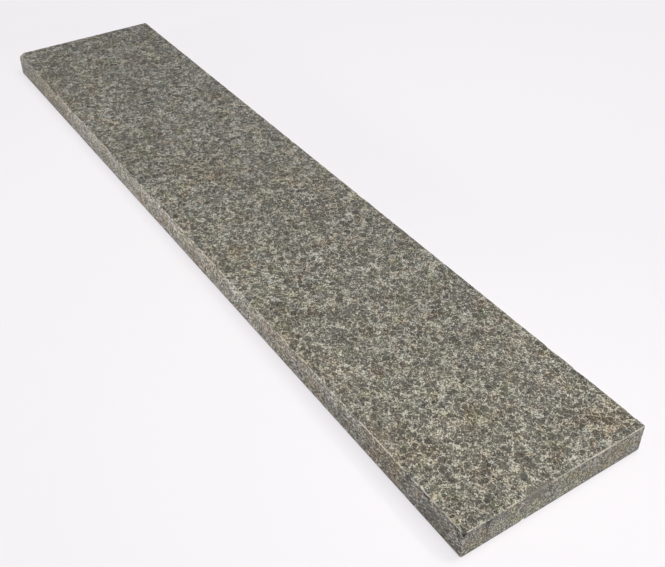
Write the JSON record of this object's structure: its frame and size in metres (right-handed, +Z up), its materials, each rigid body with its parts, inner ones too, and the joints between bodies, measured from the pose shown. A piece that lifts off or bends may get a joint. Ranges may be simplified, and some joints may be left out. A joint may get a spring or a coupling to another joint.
{
  "type": "basalt edging stone",
  "caption": "Long rectangular basalt slab with a flamed top, sawn edges and lightly chipped arrises, laid flat or set on edge to border paving, lawn or a pond.",
  "frame": {"origin": "middle of the sawn bed, the face that the stone lies on", "axes": "+X along the stone towards the near end in the picture, +Y across it, +Z up out of the flamed top"},
  "size_m": [1, 0.2, 0.03],
  "materials": {
    "basalt": "flamed top with pale feldspar mesh round dark crystals, sawn edges and bed, matt"
  },
  "bodies": {
    "root": {"edging_stone": "basalt"}
  },
  "joints": []
}
